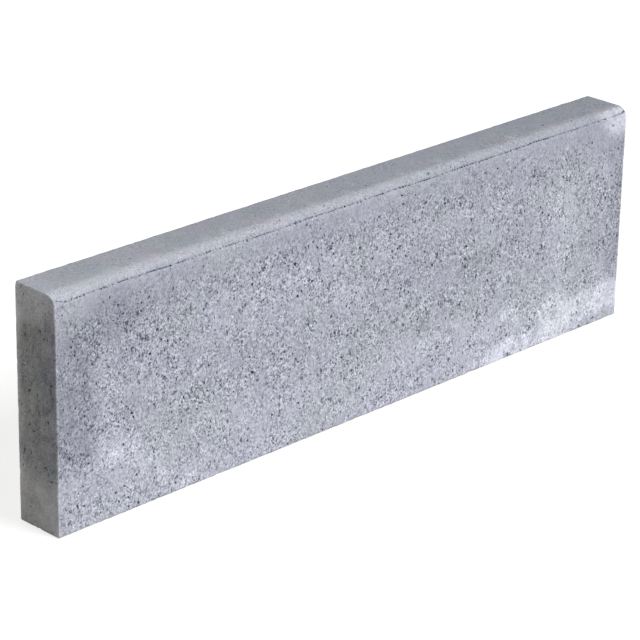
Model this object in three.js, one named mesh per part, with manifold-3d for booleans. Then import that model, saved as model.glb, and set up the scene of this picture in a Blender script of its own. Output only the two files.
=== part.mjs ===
// A concrete kerb stone: the edging kerb that stands on end-to-end beds along paths and lawns.
//
// One piece of pressed concrete. It has a flat bed to stand on, two upright faces, a flat top, and
// a quarter-round nose along the top of its front face. The press head that shapes the top meets
// the mould wall part-way down the nose, and leaves a fine joint line there from end to end.
// Every other arris is only eased, so that it doesn't chip.
//
// Millimetres, +Z up. X runs along the kerb, the front face looks towards -Y, and the origin is
// in the middle of the bed.

import * as THREE from 'three';
import { mergeVertices } from 'three/addons/utils/BufferGeometryUtils.js';
import Module from 'manifold-3d';

const wasm = await Module();
wasm.setup();

// ---------------------------------------------------------------------------------------------
// Driving dimensions
// ---------------------------------------------------------------------------------------------

const kerbLength = 1000;
const kerbHeight = 300;
const kerbThickness = 70;

// The quarter round along the top of the front face.
const noseRadius = 14;

// The joint between the press head and the mould wall: a V-shaped groove.
const jointDrop = 8; // from the top face down to the middle of the groove
const jointWidth = 1.6; // mouth of the groove
const jointDepth = 1.2; // from the face to the bottom of the V

// Easing of the long arrises, and of the arrises round each end face.
const longArrisRadius = 2.5;
const endArrisRadius = 2;

// How finely the round parts are faceted.
const noseFacets = 11;
const arrisFacets = 4;

// ---------------------------------------------------------------------------------------------
// Cross-section
// ---------------------------------------------------------------------------------------------

// Points on a quarter circle. `from` is the direction of its first point, in quarter turns
// anticlockwise from the back, and the arc runs on anticlockwise to the next quarter.
function quarterRound(centreY, centreZ, radius, from, facets) {
  const points = [];
  for (let step = 0; step <= facets; step += 1) {
    const angle = (from + step / facets) * (Math.PI / 2);
    const y = centreY + radius * Math.cos(angle);
    const z = centreZ + radius * Math.sin(angle);
    points.push(new THREE.Vector2(y, z));
  }
  return points;
}

// The outline of the kerb across its length, drawn in by `inset` on all four sides. It starts on
// the back arris of the bed and runs up the back, over the top and nose, and down the front.
function kerbOutline(inset) {
  const front = -kerbThickness / 2 + inset;
  const back = kerbThickness / 2 - inset;
  const bed = inset;
  const top = kerbHeight - inset;
  const r = longArrisRadius;
  const nose = noseRadius;
  return [
    ...quarterRound(back - r, bed + r, r, 3, arrisFacets),
    ...quarterRound(back - r, top - r, r, 0, arrisFacets),
    ...quarterRound(front + nose, top - nose, nose, 1, noseFacets),
    ...quarterRound(front + r, bed + r, r, 2, arrisFacets),
  ];
}

// ---------------------------------------------------------------------------------------------
// Moulded block
// ---------------------------------------------------------------------------------------------

// Where the outlines stand along the kerb, and how far each is drawn in. Towards each end they
// follow a quarter circle, which eases the arrises round the end face.
function stationsAlongKerb() {
  const firstEnd = [];
  const lastEnd = [];
  for (let step = 0; step <= arrisFacets; step += 1) {
    const angle = (step / arrisFacets) * (Math.PI / 2);
    const fromEnd = endArrisRadius * (1 - Math.sin(angle));
    const inset = endArrisRadius * (1 - Math.cos(angle));
    firstEnd.unshift({ x: -kerbLength / 2 + fromEnd, inset });
    lastEnd.push({ x: kerbLength / 2 - fromEnd, inset });
  }
  return [...firstEnd, ...lastEnd];
}

// A closed skin over the outlines, with a flat cap at each end.
function skinOver(stations) {
  const outlines = stations.map((station) => kerbOutline(station.inset));
  const around = outlines[0].length;
  const positions = [];
  outlines.forEach((outline, ring) => {
    outline.forEach((point) => positions.push(stations[ring].x, point.x, point.y));
  });

  const triangles = [];
  for (let ring = 0; ring + 1 < outlines.length; ring += 1) {
    for (let side = 0; side < around; side += 1) {
      const here = ring * around + side;
      const beside = ring * around + ((side + 1) % around);
      triangles.push(here, beside, beside + around);
      triangles.push(here, beside + around, here + around);
    }
  }

  const lastRing = (outlines.length - 1) * around;
  const cap = THREE.ShapeUtils.triangulateShape(outlines[0], []);
  cap.forEach(([a, b, c]) => {
    triangles.push(c, b, a);
    triangles.push(lastRing + a, lastRing + b, lastRing + c);
  });

  const geometry = new THREE.BufferGeometry();
  geometry.setAttribute('position', new THREE.Float32BufferAttribute(positions, 3));
  geometry.setIndex(triangles);
  return geometry;
}

// ---------------------------------------------------------------------------------------------
// Press joint
// ---------------------------------------------------------------------------------------------

// How far behind the front plane the nose's surface is, at a distance below the top.
function noseSetback(belowTop) {
  const aboveSpring = noseRadius - belowTop;
  if (aboveSpring <= 0) {
    return 0;
  }
  return noseRadius - Math.sqrt(noseRadius ** 2 - aboveSpring ** 2);
}

// A three-sided bar that cuts the groove. Its edge lies at the bottom of the groove, its sides
// pass through the two lips, and it is wide enough to stand clear of the stone in front.
function jointCutter() {
  const surface = -kerbThickness / 2 + noseSetback(jointDrop);
  const bottomOfGroove = surface + jointDepth;
  const reach = 2 * jointDepth;
  const halfMouth = (jointWidth / 2) * (reach / jointDepth);
  const z = kerbHeight - jointDrop;
  const bar = new THREE.Shape([
    new THREE.Vector2(bottomOfGroove, z),
    new THREE.Vector2(bottomOfGroove - reach, z + halfMouth),
    new THREE.Vector2(bottomOfGroove - reach, z - halfMouth),
  ]);
  const overrun = jointWidth;
  const geometry = new THREE.ExtrudeGeometry(bar, {
    depth: kerbLength + 2 * overrun,
    bevelEnabled: false,
    steps: 1,
  });
  // The bar is drawn in Y and Z and drawn out along X.
  geometry.applyMatrix4(new THREE.Matrix4().set(
    0, 0, 1, -kerbLength / 2 - overrun,
    1, 0, 0, 0,
    0, 1, 0, 0,
    0, 0, 0, 1,
  ));
  return geometry;
}

// ---------------------------------------------------------------------------------------------
// Cutting
// ---------------------------------------------------------------------------------------------

function toSolid(geometry) {
  const plain = geometry.clone();
  plain.deleteAttribute('normal');
  plain.deleteAttribute('uv');
  const merged = mergeVertices(plain, 1e-4);
  return new wasm.Manifold(new wasm.Mesh({
    numProp: 3,
    vertProperties: new Float32Array(merged.attributes.position.array),
    triVerts: new Uint32Array(merged.index.array),
  }));
}

function toGeometry(solid) {
  const mesh = solid.getMesh();
  const geometry = new THREE.BufferGeometry();
  geometry.setAttribute('position', new THREE.BufferAttribute(mesh.vertProperties, 3));
  geometry.setIndex(new THREE.BufferAttribute(mesh.triVerts, 1));
  geometry.computeVertexNormals();
  return geometry;
}

// ---------------------------------------------------------------------------------------------
// The kerb stone
// ---------------------------------------------------------------------------------------------

const concrete = new THREE.MeshStandardMaterial({
  color: new THREE.Color().setRGB(0.66, 0.67, 0.71, THREE.SRGBColorSpace),
  roughness: 0.92,
  metalness: 0,
});

const block = toSolid(skinOver(stationsAlongKerb()));
const grooved = block.subtract(toSolid(jointCutter()));

const kerbStone = new THREE.Mesh(toGeometry(grooved), concrete);
kerbStone.name = 'kerb_stone';

const kerb = new THREE.Group();
kerb.add(kerbStone);

export default kerb;
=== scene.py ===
# %% [markdown]
# # A concrete kerb stone
#
# A kerb stone looks like the plainest thing there is: one grey block. What makes it believable is
# how it was made. Damp concrete is shaken into a steel mould, a press head squeezes the top flat
# and rounds its front arris, and the mould is pulled off at once. So the top is smooth, the sides
# are open and pitted, and a fine joint line runs where the head met the mould wall.
#
# This lesson builds that block in cells. Each code cell is short, and prints what it made.

# %% Load the frame
import math

import bmesh
import bpy
import numpy as np
from mathutils import Matrix, Vector, noise
from mathutils.geometry import delaunay_2d_cdt
from mathutils.kdtree import KDTree


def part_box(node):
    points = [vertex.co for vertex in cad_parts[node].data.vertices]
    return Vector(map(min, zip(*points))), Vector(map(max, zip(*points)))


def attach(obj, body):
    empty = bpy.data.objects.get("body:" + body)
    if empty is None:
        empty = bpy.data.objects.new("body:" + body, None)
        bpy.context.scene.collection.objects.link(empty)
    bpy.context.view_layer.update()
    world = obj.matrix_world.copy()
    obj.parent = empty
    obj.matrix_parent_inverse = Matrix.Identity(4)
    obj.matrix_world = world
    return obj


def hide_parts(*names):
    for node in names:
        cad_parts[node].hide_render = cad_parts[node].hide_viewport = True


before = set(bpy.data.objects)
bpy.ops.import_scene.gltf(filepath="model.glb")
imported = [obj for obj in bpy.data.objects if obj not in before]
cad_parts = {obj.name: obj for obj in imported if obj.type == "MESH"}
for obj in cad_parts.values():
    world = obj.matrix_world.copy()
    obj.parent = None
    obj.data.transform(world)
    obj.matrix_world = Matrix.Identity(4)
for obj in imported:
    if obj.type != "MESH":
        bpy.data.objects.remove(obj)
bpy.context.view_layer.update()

print("nodes in the frame:", sorted(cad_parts))

# %% [markdown]
# ## The sizes of the block
#
# The block's length, thickness and height come from the frame, so that the two can't disagree. The
# small sizes are those of the press tools: the round of the nose, the height of the joint line and
# the easing of the arrises. Blender works in metres, so a helper turns millimetres into metres.

# %% Measure the block
MM = 0.001

lowest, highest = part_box("kerb_stone")
LENGTH, THICKNESS, HEIGHT = (highest[axis] - lowest[axis] for axis in range(3))
NOSE_RADIUS = 14 * MM
JOINT_DROP = 8 * MM
ARRIS_RADIUS = 2.5 * MM
END_RADIUS = 2 * MM

random = np.random.default_rng(1340)
print(f"kerb: {LENGTH:.3f} long, {THICKNESS:.3f} thick, {HEIGHT:.3f} high")

# %% [markdown]
# ## The camera
#
# The camera comes first, because it decides which face matters most. It stands to the front left
# and above, and looks down on the kerb with a long lens, so that the long edges only lean together
# a little. A camera in Blender looks down its own -Z, with +Y up and +X to its right, so its
# rotation is simply those three directions written as the columns of a matrix.

# %% Set the camera
CAMERA_PLACE = Vector((-2.3634, -2.2806, 1.4852))
CAMERA_YAW = math.radians(45.48)
CAMERA_PITCH = math.radians(22.56)
CAMERA_ROLL = math.radians(1.08)
CAMERA_LENS = 159.3


def looking(yaw, pitch, roll):
    """The rotation of a camera turned to the right by yaw, down by pitch and rolled by roll."""
    level_part = math.cos(pitch)
    ahead = Vector((math.sin(yaw) * level_part, math.cos(yaw) * level_part, -math.sin(pitch)))
    level = Vector((math.cos(yaw), -math.sin(yaw), 0))
    upright = level.cross(ahead)
    right = level * math.cos(roll) + upright * math.sin(roll)
    up = upright * math.cos(roll) - level * math.sin(roll)
    return Matrix((right, up, -ahead)).transposed()


def add_object(name, data):
    """An object that shows some data, put in the scene."""
    made = bpy.data.objects.new(name, data)
    bpy.context.scene.collection.objects.link(made)
    return made


camera_data = bpy.data.cameras.new("camera")
camera_data.lens = CAMERA_LENS
camera_data.sensor_width = 36
camera = add_object("camera", camera_data)
camera.matrix_world = Matrix.LocRotScale(
    CAMERA_PLACE, looking(CAMERA_YAW, CAMERA_PITCH, CAMERA_ROLL), None
)
bpy.context.scene.camera = camera
print(f"camera {CAMERA_PLACE.length:.2f} m away, {camera_data.lens:.0f} mm lens")

# %% [markdown]
# ## The outline across the kerb
#
# Cut across, the kerb is a tall rectangle with one big round corner and three small ones. A good
# way to draw such an outline is to walk round it: straight on for a while, then turn through a
# right angle on a radius, and so on until the walk comes back to its start. The walk gives more
# than the outline. It also gives a distance round the kerb, and we will use that distance as a
# second coordinate, so that the whole skin can be laid out flat like a carton.
#
# The walk starts in the middle of the bed, where its seam is hidden, and goes up the front first.
# It is taken in tiny steps. They miss the start by a few nanometres, which is shared out at the end.

# %% Walk round the outline
QUARTER = math.pi / 2
walk = [
    ("bed to the front", THICKNESS / 2 - ARRIS_RADIUS, 0),
    ("front bottom arris", ARRIS_RADIUS * QUARTER, -90),
    ("front face", HEIGHT - ARRIS_RADIUS - NOSE_RADIUS, 0),
    ("nose", NOSE_RADIUS * QUARTER, -90),
    ("top", THICKNESS - NOSE_RADIUS - ARRIS_RADIUS, 0),
    ("back top arris", ARRIS_RADIUS * QUARTER, -90),
    ("back face", HEIGHT - 2 * ARRIS_RADIUS, 0),
    ("back bottom arris", ARRIS_RADIUS * QUARTER, -90),
    ("bed from the back", THICKNESS / 2 - ARRIS_RADIUS, 0),
]
starts = np.concatenate([[0], np.cumsum([run for _, run, _ in walk])])
headings = np.radians(180 + np.concatenate([[0], np.cumsum([turn for _, _, turn in walk])]))
GIRTH = starts[-1]
span = {name: (starts[i], starts[i + 1]) for i, (name, _, _) in enumerate(walk)}

WALK_STEP = 0.02 * MM
walk_at = np.linspace(0, GIRTH, round(GIRTH / WALK_STEP) + 1)
stride = walk_at[1]
walk_heading = np.interp(walk_at[:-1] + stride / 2, starts, headings)
walk_y = np.concatenate([[0], np.cumsum(np.cos(walk_heading))]) * stride
walk_z = np.concatenate([[0], np.cumsum(np.sin(walk_heading))]) * stride
gap = math.hypot(walk_y[-1], walk_z[-1])
walk_y -= walk_y[-1] * walk_at / GIRTH
walk_z -= walk_z[-1] * walk_at / GIRTH
print(f"girth {GIRTH:.4f} m, the walk missed its start by {gap * 1e9:.0f} nm before it was closed")

# %% [markdown]
# ## From the flat carton to the block
#
# Every point of the skin is now two numbers: how far along the kerb, and how far round it. Near
# each end the skin turns over the end arris, so a little extra length is wrapped round a quarter
# circle there. The function also gives the outward direction, which is where pits and chips get
# their depth from.

# %% Wrap the skin
WRAP = END_RADIUS * QUARTER
FLAT_HALF = LENGTH / 2 - END_RADIUS
REACH = FLAT_HALF + WRAP
END_ARRIS = FLAT_HALF + WRAP / 2


def on_block(along, around):
    """Points and outward directions on the smooth block, for places on the flat skin."""
    heading = np.interp(around, starts, headings)
    out_y, out_z = np.cos(heading + QUARTER), np.sin(heading + QUARTER)
    turned = np.clip((np.abs(along) - FLAT_HALF) / END_RADIUS, 0, QUARTER)
    side = np.sign(along)
    inset = END_RADIUS * (1 - np.cos(turned))
    x = side * (np.minimum(np.abs(along), FLAT_HALF) + END_RADIUS * np.sin(turned))
    y = np.interp(around, walk_at, walk_y) - inset * out_y
    z = np.interp(around, walk_at, walk_z) - inset * out_z
    points = np.column_stack([x, y, z])
    outward = np.column_stack([side * np.sin(turned), out_y * np.cos(turned), out_z * np.cos(turned)])
    return points, outward


def place_on_nose(drop):
    """How far round the skin the nose is, at a drop below the top."""
    lift = NOSE_RADIUS - drop
    return span["nose"][0] + NOSE_RADIUS * math.asin(lift / NOSE_RADIUS)


JOINT_AT = place_on_nose(JOINT_DROP)
check, _ = on_block(np.array([0.0]), np.array([JOINT_AT]))
print(f"joint line at y {check[0, 1]:.4f}, z {check[0, 2]:.4f}")

# %% [markdown]
# ## Where the pits are
#
# When the mould is pulled off, small pockets of air and missing sand are left open in its faces.
# They aren't spread evenly: they come in loose clusters, there are few of them in the dense band
# that the press head squeezes hardest, and hardly any on the top. Pits strewn by chance alone would
# look as even as a sieve. So a smooth noise field makes clusters, and the height decides the rest.

# %% Say where pits are likely
DENSE_BAND = 42 * MM
NOISE_SLICE = 3.7


def clustered(along, around, size=38 * MM):
    """From 0 to 1: how likely a pit is here, in loose clusters of about that size."""
    value = noise.noise(Vector((along / size, around / size, NOISE_SLICE)))
    return min(max(0.45 + 2.0 * value, 0.05), 1)


def chance_on_skin(along, around):
    """How likely a pit is, going by which part of the skin this is."""
    clusters = clustered(along, around)
    back_first, back_last = span["back face"]
    if span["front face"][0] < around < JOINT_AT:
        below_joint = min(max((JOINT_AT - around) / DENSE_BAND, 0), 1)
        towards_left = 1.05 - 0.35 * along / LENGTH
        beside_end = min(max((along + LENGTH / 2) / (60 * MM), 0.35), 1)
        return towards_left * beside_end * clusters * (0.1 + 0.9 * below_joint ** 1.5)
    if back_first < around < back_last:
        below_top = min((around - back_first) / DENSE_BAND, 1)
        return clusters * (0.15 + 0.85 * below_top)
    if JOINT_AT <= around < span["back top arris"][0]:
        return 0.03
    return 0.35 * clusters


for name, spot in (("front", 150 * MM), ("top", sum(span["top"]) / 2), ("back", GIRTH - 150 * MM)):
    print(f"chance of a pit in the middle of the {name}: {chance_on_skin(0, spot):.2f}")

# %% [markdown]
# ## Scatter the pits
#
# Places are tried one after another, and each is accepted with the chance there. Small pits are
# much more common than big ones, which is what the power of a random number gives. Two pits never
# touch. To check that without looking at them all, they are sorted into square cells.

# %% Scatter the pits
SKIN_TRIES = 22500
PIT_SMALLEST, PIT_LARGEST = 0.82 * MM, 2.6 * MM
FEWER_BIG = -0.40
RIM_SPACE = 1.25
CELL = 2.6 * PIT_LARGEST
ARRIS_MARGIN = 7 * MM


def scatter(count, low, high, chance):
    """Centres and radii of pits in a flat rectangle. Two pits are never closer than their rims."""
    pits, cells = [], {}
    for _ in range(count):
        along, around = random.uniform(low, high)
        if random.random() > chance(along, around):
            continue
        radius = min(PIT_SMALLEST * (1 - random.random()) ** FEWER_BIG, PIT_LARGEST)
        column, row = int(along // CELL), int(around // CELL)
        near = [p for i in (-1, 0, 1) for j in (-1, 0, 1) for p in cells.get((column + i, row + j), ())]
        if all(math.hypot(p[0] - along, p[1] - around) > RIM_SPACE * (p[2] + radius) for p in near):
            cells.setdefault((column, row), []).append((along, around, radius))
            pits.append((along, around, radius))
    return pits


skin_pits = scatter(
    SKIN_TRIES,
    (-FLAT_HALF + ARRIS_MARGIN, ARRIS_MARGIN),
    (FLAT_HALF - ARRIS_MARGIN, GIRTH - ARRIS_MARGIN),
    chance_on_skin,
)
print("pits on the skin:", len(skin_pits))

# %% [markdown]
# ## The shape of one pit
#
# A pit could be a dent in a very fine grid, but that spends most of its faces on flat concrete.
# Here each pit is only a few points: an uneven rim at the surface, a ring part-way down its wall
# if it is big enough, and one point at the bottom. The triangles between the pits are filled in
# afterwards. The ring has to stay well inside the rim, so a big pit's rim isn't let in too far.
#
# They have two habits, each a range of slimness and a usual lean in degrees. Most pits are drawn
# out a little up the face, because the mould drags the damp surface as it comes off. The ends also
# have slim, leaning blowholes, left by air that crept up the end plate.

# %% Shape one pit
SMALL_PIT = 1.25 * MM
DEEPEST = 2.4 * MM
# The darkness of a pit's points paints dust and the shade inside it into the colour, most at the bottom.
RING, RING_DEPTH, RING_DARK = 0.62, 0.72, 0.8
RIM_REACH = 1.1
UNEVEN, WALL_UNEVEN = (0.62, 1.15), (0.85, 1.1)
LEAST_OF_BIG = 0.74
DEPTHS = (0.8, 1.3)
LEAN_SPREAD = 35
DRAGGED = ((1.0, 2.6), 100)
BLOWN = ((2.0, 3.2), 125)


def loop_round(along, around, radius, stretch, lean, unevenness):
    """Places of an uneven, stretched loop round a centre."""
    count = len(unevenness)
    turn = np.arange(count) * math.tau / count
    long_way = radius * unevenness * np.cos(turn)
    short_way = radius * unevenness * np.sin(turn) / stretch
    return np.column_stack([
        along + long_way * math.cos(lean) - short_way * math.sin(lean),
        around + long_way * math.sin(lean) + short_way * math.cos(lean),
    ])


def shape_pit(along, around, radius, habit):
    """Loops of places on the flat skin, each with its depth and how dark it is."""
    slimness, usual_lean = habit
    stretch = random.uniform(*slimness)
    lean = random.normal(math.radians(usual_lean), math.radians(LEAN_SPREAD))
    depth = min(radius * random.uniform(*DEPTHS), DEEPEST)
    rings = []
    if radius < SMALL_PIT:
        rim = random.uniform(*UNEVEN, 6)
    else:
        rim = np.maximum(random.uniform(*UNEVEN, 8), LEAST_OF_BIG)
        wall = random.uniform(*WALL_UNEVEN, 6)
        ring = loop_round(along, around, RING * radius, stretch, lean, wall)
        rings = [(ring, RING_DEPTH * depth, RING_DARK)]
    bottom = np.array([[along, around]]) + random.normal(0, 0.08 * radius, (1, 2)) / stretch
    edge = loop_round(along, around, RIM_REACH * radius, stretch, lean, rim)
    return [(edge, 0, 0), *rings, (bottom, depth, 1)]


example = shape_pit(0, 0, 2 * MM, DRAGGED)
print("points in a 4 mm pit:", sum(len(places) for places, _, _ in example))

# %% [markdown]
# ## Rows of points where the shape turns
#
# Flat concrete needs few points, but an arris, the nose and the joint line need rows of them, close
# together across the turn and a few millimetres apart along it. Every row is jittered, so that the
# wear we add later doesn't fall into steps.
#
# The joint line gets five rows of its own: the bottom of the groove, its two lips and the concrete
# beside them. The press head never sits quite true, so the line tilts and wanders a little, dips
# and curls up at the left end, and lifts at the right end.

# %% Lay the rows
def spaced(low, high, step):
    """Evenly spaced values from low to high, both included, about a step apart."""
    return np.linspace(low, high, max(2, round((high - low) / step) + 1))


def long_row(around, step, from_end=8 * MM):
    """A jittered row along the kerb, which stops short of both ends."""
    along = spaced(-FLAT_HALF + from_end, FLAT_HALF - from_end, step)
    along = along + random.uniform(-0.3, 0.3, len(along)) * step
    return np.column_stack([along, np.full(len(along), around)])


def joint_path(along):
    """How far round the skin the joint line is."""
    from_left = along + LENGTH / 2
    from_right = LENGTH / 2 - along
    tilt = 0.8 * MM * along / (LENGTH / 2)
    dip = -1.5 * MM * np.exp(-(((from_left - 20 * MM) / (8 * MM)) ** 2))
    curl = 4.5 * MM * np.clip((14 * MM - from_left) / (12 * MM), 0, 1) ** 1.5
    lift = 3 * MM * np.clip((9 * MM - from_right) / (9 * MM), 0, 1)
    wander = 0.35 * MM * np.sin(along / (23 * MM)) + 0.22 * MM * np.sin(along / (7.1 * MM) + 1)
    wander = wander + 0.30 * MM * np.sin(along / (51 * MM) + 2)
    return JOINT_AT + tilt + dip + curl + lift + wander


SMALL_ARRISES = ("front bottom arris", "back top arris", "back bottom arris")
BESIDE = (2 * MM, 6 * MM)
NOSE_STEP = 2.2 * MM
rows = []
for name in SMALL_ARRISES:
    first, last = span[name]
    before = [first - away for away in reversed(BESIDE)]
    after = [last + away for away in BESIDE]
    for around in (*before, *spaced(first, last, 1.3 * MM), *after):
        rows.append(long_row(around, 3.5 * MM))
for around in spaced(*span["nose"], NOSE_STEP):
    nose_row = long_row(around, 6 * MM)
    clear_of_joint = np.abs(nose_row[:, 1] - joint_path(nose_row[:, 0])) > 2.4 * MM
    rows.append(nose_row[clear_of_joint])

JOINT_HALF = 1.1 * MM
JOINT_FROM_END = 3 * MM
joint_along = spaced(-LENGTH / 2 + JOINT_FROM_END, LENGTH / 2 - JOINT_FROM_END, 2.0 * MM)
joint_rows = {
    offset: np.column_stack([joint_along, joint_path(joint_along) + offset * JOINT_HALF])
    for offset in (-2.2, -1, 0, 1, 2.2)
}
print("rows:", len(rows), "points in them:", sum(len(row) for row in rows))

# %% [markdown]
# ## The rim of each end
#
# The skin's two ends and the flat end faces have to share their points exactly, or the block would
# leak. So one list of places round the kerb is made once, and used for both.

# %% Places round the ends
rim_around = []
for name, run, turn in walk:
    first, last = span[name]
    if name == "nose":
        step = NOSE_STEP
    else:
        step = run / 4 if turn else 4 * MM
    rim_around.extend(spaced(first, last, step)[:-1])
rim_around = np.array(rim_around + [GIRTH])

end_columns = [FLAT_HALF - 6 * MM, FLAT_HALF - 2 * MM, *spaced(FLAT_HALF, REACH, WRAP / 3)[:-1]]
seam_along = spaced(-REACH, REACH, 20 * MM)[1:-1]
print("places round each end:", len(rim_around))

# %% [markdown]
# ## Chips
#
# Arrises of young concrete get knocked. A chip is a shallow bite out of an arris, longer along it
# than across it. It could be cut away with another mesh, but that leaves a block that is hard to
# keep closed. Here each chip is a centre on the skin, a reach along and around, and a depth, and
# later the points inside it are moved. More points are sown there, so that the bite has a shape.
# The bottom back arris has the deepest chips, because a kerb is tipped over it.

# %% Place the chips
def arris_middle(name):
    """How far round the skin the middle of an arris is."""
    return sum(span[name]) / 2


chips = []
for name, count, deepest in zip(SMALL_ARRISES, (22, 16, 20), (1.2, 1.0, 1.8)):
    for _ in range(count):
        along = random.uniform(-FLAT_HALF + 12 * MM, FLAT_HALF - 12 * MM)
        chips.append((along, arris_middle(name), random.uniform(3, 9) * MM,
                      random.uniform(2.2, 4) * MM, random.uniform(0.5, deepest) * MM))
for side in (-1, 1):
    for _ in range(14):
        around = random.uniform(6 * MM, GIRTH - 6 * MM)
        chips.append((side * END_ARRIS, around, random.uniform(2.2, 4) * MM,
                      random.uniform(3, 8) * MM, random.uniform(0.25, 0.65) * MM))
chips.append((-END_ARRIS, arris_middle("back top arris"), 4 * MM, 5 * MM, 1.8 * MM))

POINTS_IN_CHIP = 26
chip_points = []
for along, around, reach_along, reach_around, _ in chips:
    angle = random.uniform(0, math.tau, POINTS_IN_CHIP)
    away = np.sqrt(random.uniform(0, 1, POINTS_IN_CHIP))
    chip_points.append(np.column_stack([
        along + away * reach_along * np.cos(angle),
        around + away * reach_around * np.sin(angle),
    ]))
chip_points = np.concatenate(chip_points)
off_the_rim = np.abs(chip_points[:, 0]) < REACH - 0.4 * MM
off_the_seam = (chip_points[:, 1] > 1 * MM) & (chip_points[:, 1] < GIRTH - 1 * MM)
chip_points = chip_points[off_the_rim & off_the_seam]
print("chips:", len(chips), "points sown in them:", len(chip_points))

# %% [markdown]
# ## A sheet of flat points
#
# A Delaunay triangulation joins any set of flat points into well-shaped triangles, and it can be
# told which edges it must keep. This class collects the points, each with a depth and a darkness,
# and the edges of the pits' loops, which are the ones to keep.

# %% Make a sheet
SAME_PLACE = 1e-7


class Sheet:
    """Flat points with a depth and a darkness each, and the edges to keep between them."""

    def __init__(self):
        self.places, self.depth, self.dark, self.edges = [], [], [], []

    def add(self, places, depth=0.0, dark=0.0, closed=False):
        """Add some places, joined into a loop if it is closed."""
        first = len(self.places)
        count = len(places)
        self.places.extend(map(tuple, places))
        self.depth.extend(np.broadcast_to(depth, count))
        self.dark.extend(np.broadcast_to(dark, count))
        if closed:
            self.edges.extend((first + i, first + (i + 1) % count) for i in range(count))

    def add_pit(self, loops):
        """Add the loops of one pit, and the point at its bottom."""
        for places, depth, dark in loops:
            self.add(places, depth, dark, closed=len(places) > 2)

    def triangulate(self):
        """Flat places, depths, darkness and triangles."""
        flat = [Vector(place) for place in self.places]
        made, _, faces, sources, _, _ = delaunay_2d_cdt(flat, self.edges, [], 0, SAME_PLACE, True)
        depth = np.array([max((self.depth[i] for i in s), default=0) for s in sources])
        dark = np.array([max((self.dark[i] for i in s), default=0) for s in sources])
        return np.array([tuple(v) for v in made]), depth, dark, np.array(faces)


trial = Sheet()
trial.add_pit(example)
print("triangles in a 4 mm pit:", len(trial.triangulate()[3]))

# %% [markdown]
# ## Look up the nearest place
#
# Several steps ask how near one thing is to another: a point to a pit, to an arris or to the joint
# line. A k-d tree answers that quickly, because it only looks at places in the same neighbourhood.

# %% Find near places
def tree_of(places):
    """A tree that finds the nearest of many places."""
    made = KDTree(len(places))
    for index, place in enumerate(places):
        made.insert(place, index)
    made.balance()
    return made


def distance_to(places, points):
    """How far each point is from the nearest of the places."""
    tree = tree_of(places)
    return np.array([tree.find(point)[2] for point in points])


def clear_of_pits(places, pits):
    """The flat places that don't fall in a pit or on its rim."""
    tree = tree_of([(along, around, 0) for along, around, _ in pits])
    kept = []
    for place in places:
        close = tree.find_range((*place, 0), 1.5 * PIT_LARGEST)
        if all(distance > RIM_SPACE * pits[index][2] for _, index, distance in close):
            kept.append(place)
    return np.array(kept)


print("first row:", len(rows[0]), "points,", len(clear_of_pits(rows[0], skin_pits)), "clear of pits")

# %% [markdown]
# ## Pits along the joint line
#
# A pit that straddles the groove would swallow it, so the scattered ones keep clear of it. The line
# gets its own small pits instead, a few millimetres apart, where the paste didn't quite close
# between the press head and the mould wall.

# %% Pit the joint line
skin_pits = [
    pit for pit in skin_pits
    if abs(pit[1] - joint_path(pit[0])) > 1.3 * pit[2] + 2.6 * JOINT_HALF
]
scattered = len(skin_pits)
along = -LENGTH / 2 + 16 * MM
while along < LENGTH / 2 - 12 * MM:
    around = joint_path(along) + random.normal(0, 0.35) * MM
    skin_pits.append((along, around, random.uniform(0.9, 1.7) * MM))
    along += random.uniform(4.2, 10) * MM
print("pits on the joint line:", len(skin_pits) - scattered)

# %% [markdown]
# ## Fill the skin with triangles
#
# Everything now goes on one sheet: the pits, the rows, a loose grid over the flat parts, the points
# in the chips, the columns at the ends and the rows of the joint line. Any of them that would fall
# inside a pit is left out.

# %% Triangulate the skin
def loose_grid(low, high, step, jitter):
    """Places that fill a flat rectangle, each moved by up to so many millimetres."""
    across, up = np.meshgrid(spaced(low[0], high[0], step), spaced(low[1], high[1], step))
    grid = np.column_stack([across.ravel(), up.ravel()])
    return grid + random.uniform(-jitter, jitter, grid.shape) * MM


def cross_row(along, around):
    """A row of places round the kerb, all at one distance along it."""
    return np.column_stack([np.full(len(around), along), around])


skin = Sheet()
for pit in skin_pits:
    skin.add_pit(shape_pit(*pit, DRAGGED))
grid = loose_grid(
    (-FLAT_HALF + 12 * MM, 6 * MM), (FLAT_HALF - 12 * MM, GIRTH - 6 * MM), 18 * MM, jitter=5
)
skin.add(clear_of_pits(np.concatenate([*rows, grid, chip_points]), skin_pits))
for column in end_columns:
    for side in (-1, 1):
        skin.add(cross_row(side * column, rim_around[1:-1]))
for side in (-1, 1):
    skin.add(cross_row(side * REACH, rim_around))
for around in (0, GIRTH):
    skin.add(np.column_stack([seam_along, np.full(len(seam_along), around)]))
for places in joint_rows.values():
    skin.add(clear_of_pits(places, skin_pits))

skin_flat, skin_depth, skin_dark, skin_faces = skin.triangulate()
print("skin:", len(skin_flat), "points,", len(skin_faces), "triangles")

# %% [markdown]
# ## The two ends
#
# An end is where the next kerb butts up, so it is cast flat. One big face would close the block,
# but it could hold no pits. So each end is a sheet as well, and its places are simply its own width
# and height. Its edge is the list of places round the kerb that the skin already uses. The slim
# blowholes have places of their own, where air was caught against the end plate.

# %% Plan the ends
END_TRIES = 150
BLOWHOLES = [
    (0.0125, 0.172), (0.014, 0.129), (0.012, 0.095), (0.027, 0.150), (0.028, 0.107), (0.027, 0.073),
    (0.019, 0.288), (0.018, 0.240), (0.008, 0.008),
]
CLEAR_OF_BLOWHOLE = 6 * MM


def around_end(inset):
    """The outline of the end face, moved inwards."""
    points, _ = on_block(np.full(len(rim_around), REACH), rim_around)
    heading = np.interp(rim_around, starts, headings)
    out = np.column_stack([np.cos(heading + QUARTER), np.sin(heading + QUARTER)])
    return (points[:, 1:] - inset * out)[:-1]


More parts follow.
